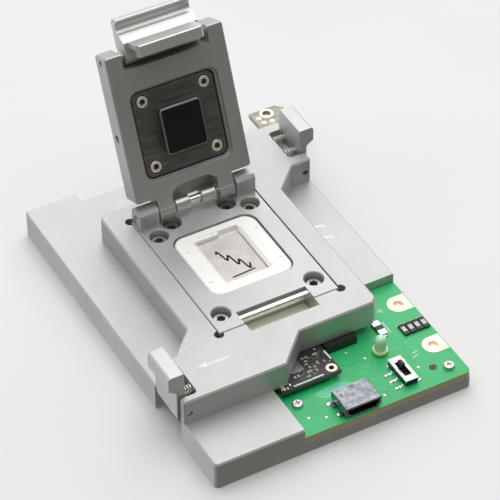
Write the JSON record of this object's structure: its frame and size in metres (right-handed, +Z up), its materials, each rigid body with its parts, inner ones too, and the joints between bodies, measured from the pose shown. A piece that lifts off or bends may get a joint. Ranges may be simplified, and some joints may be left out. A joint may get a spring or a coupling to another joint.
{
  "type": "chip programming jig",
  "caption": "Aluminium clamshell programming jig: hinged lid with a sprung pressure plate and latch over a chip nest, on a carrier with release levers, above a USB circuit board.",
  "frame": {"origin": "centre of the base plate's underside, on the surface it stands on", "axes": "+Z up, +Y from the USB edge towards the lid hinge, +X towards the right-hand release lever"},
  "size_m": [0.0654, 0.0864, 0.0502],
  "materials": {
    "base_metal": "bead-blasted, anodised grey",
    "carrier_metal": "bead-blasted, anodised grey",
    "insert_metal": "bead-blasted, anodised grey",
    "lid_metal": "bead-blasted, anodised grey",
    "latch_metal": "bead-blasted, anodised grey",
    "lever_metal": "bead-blasted, anodised grey",
    "press_metal": "black anodised",
    "pad_black": "moulded, matt",
    "green_board": "solder mask over glass-epoxy",
    "black_board": "black solder mask",
    "tab_board": "olive-grey solder mask",
    "pad_gold": "gold plating",
    "plated_steel": "tin plated",
    "screw_steel": "bright",
    "pin_steel": "ground",
    "spring_steel": "drawn wire",
    "black_plastic": "moulded",
    "led_green": "clear green-tinted epoxy",
    "chip_black": "moulded",
    "chip_tan": "ceramic",
    "nest_white": "machined, satin",
    "chip_label": "moulded, satin"
  },
  "bodies": {
    "fixture": {"base_plate": "base_metal", "main_board": "green_board", "board_screws": "screw_steel", "power_pads": "pad_gold", "usb_shell": "plated_steel", "usb_tongue": "black_plastic", "usb_contacts": "pad_gold", "switch_body": "black_plastic", "switch_cover": "plated_steel", "switch_leads": "plated_steel", "led": "led_green", "led_leads": "plated_steel", "chip_resistors": "chip_black", "chip_end_caps": "plated_steel", "daughter_board": "black_board", "daughter_pads": "pad_gold", "daughter_chip": "plated_steel", "daughter_parts": "chip_tan", "daughter_posts": "black_plastic", "board_connector": "black_plastic", "rear_tab_board": "tab_board", "rear_tab_pads": "pad_gold", "carrier_plate": "carrier_metal", "lever_pins": "pin_steel", "lever_springs_left": "spring_steel", "lever_springs_right": "spring_steel", "socket_insert": "insert_metal", "insert_screws": "screw_steel", "contact_block": "black_plastic", "nest_springs": "spring_steel", "catch_rod": "pin_steel", "hinge_pin": "pin_steel", "hinge_sleeves": "pin_steel"},
    "lid": {"lid_frame": "lid_metal", "press_screws": "screw_steel", "set_screws": "screw_steel", "latch_pin": "pin_steel", "press_springs": "spring_steel", "latch_spring": "spring_steel"},
    "presser": {"pressure_plate": "press_metal", "pusher_pad": "pad_black"},
    "latch": {"latch": "latch_metal"},
    "left_release": {"lever_left": "lever_metal"},
    "right_release": {"lever_right": "lever_metal"},
    "socket_nest": {"nest": "nest_white", "chip": "chip_label"},
    "slide_switch": {"switch_knob": "black_plastic"}
  },
  "joints": [
    {"name": "lid_hinge", "type": "hinge", "parent": "fixture", "child": "lid", "pos_m": [0, 0.0192, 0.0138], "axis": [1, 0, 0], "range_deg": [0, 112.1]},
    {"name": "latch_pivot", "type": "hinge", "parent": "lid", "child": "latch", "pos_m": [0, 0.03213, 0.04325], "axis": [-1, 0, 0], "range_deg": [-14, 5], "stiffness_Nm_per_rad": 0.01, "deforming": ["latch_spring"]},
    {"name": "press_float", "type": "slide", "parent": "lid", "child": "presser", "axis": [0, 0.9265, -0.3762], "range_m": [0, 0.0006], "stiffness_N_per_m": 400, "deforming": ["press_springs"]},
    {"name": "left_lever_pivot", "type": "hinge", "parent": "fixture", "child": "left_release", "pos_m": [-0.02624, -0.0226, 0.0084], "axis": [0, 1, 0], "range_deg": [0, 12], "stiffness_Nm_per_rad": 0.02, "deforming": ["lever_springs_left"]},
    {"name": "right_lever_pivot", "type": "hinge", "parent": "fixture", "child": "right_release", "pos_m": [0.02624, 0.0276, 0.0084], "axis": [0, -1, 0], "range_deg": [0, 12], "stiffness_Nm_per_rad": 0.02, "deforming": ["lever_springs_right"]},
    {"name": "nest_float", "type": "slide", "parent": "fixture", "child": "socket_nest", "axis": [0, 0, -1], "range_m": [0, 0.0005], "stiffness_N_per_m": 600, "deforming": ["nest_springs"]},
    {"name": "switch_slide", "type": "slide", "parent": "fixture", "child": "slide_switch", "axis": [0, -1, 0], "range_m": [0, 0.0015]}
  ]
}
